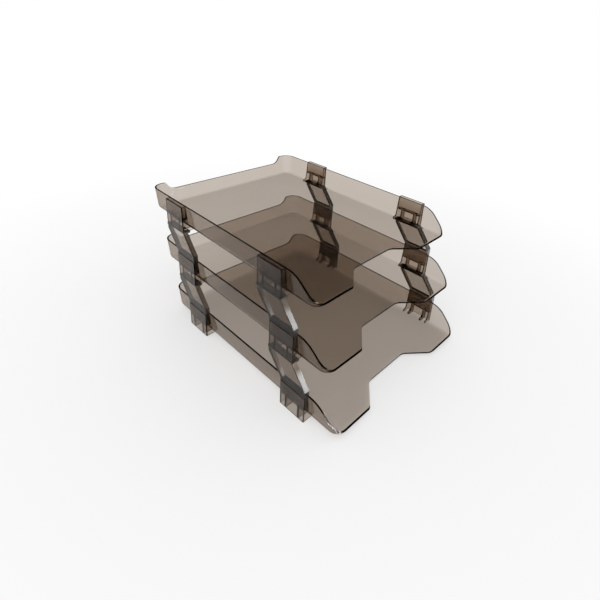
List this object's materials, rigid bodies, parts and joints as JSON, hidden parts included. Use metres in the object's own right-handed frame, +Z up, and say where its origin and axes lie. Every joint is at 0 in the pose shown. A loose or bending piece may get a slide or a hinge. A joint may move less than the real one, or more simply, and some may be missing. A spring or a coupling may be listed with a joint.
{
  "type": "tiered letter tray",
  "caption": "Stepped desk stack of smoked clear letter trays with swept sides, lowered back and finger cut-out, joined by slanted side risers.",
  "frame": {"origin": "on the desk, below the middle of the whole stack", "axes": "+X to the right, +Y to the back, +Z up; the trays' open fronts face -Y"},
  "size_m": [0.2468, 0.34, 0.164],
  "materials": {
    "tray_smoke": "clear, smoked",
    "riser_smoke": "clear, smoked"
  },
  "bodies": {
    "bottom_tier": {"bottom_tray": "tray_smoke"},
    "middle_tier": {"middle_tray": "tray_smoke", "middle_front_left_riser": "riser_smoke", "middle_front_right_riser": "riser_smoke", "middle_rear_left_riser": "riser_smoke", "middle_rear_right_riser": "riser_smoke"},
    "top_tier": {"top_tray": "tray_smoke", "top_front_left_riser": "riser_smoke", "top_front_right_riser": "riser_smoke", "top_rear_left_riser": "riser_smoke", "top_rear_right_riser": "riser_smoke"}
  },
  "joints": [
    {"name": "middle_tier_lift", "type": "slide", "parent": "bottom_tier", "child": "middle_tier", "axis": [0, 0, 1], "range_m": [0, 0.03]},
    {"name": "top_tier_lift", "type": "slide", "parent": "middle_tier", "child": "top_tier", "axis": [0, 0, 1], "range_m": [0, 0.03]}
  ]
}
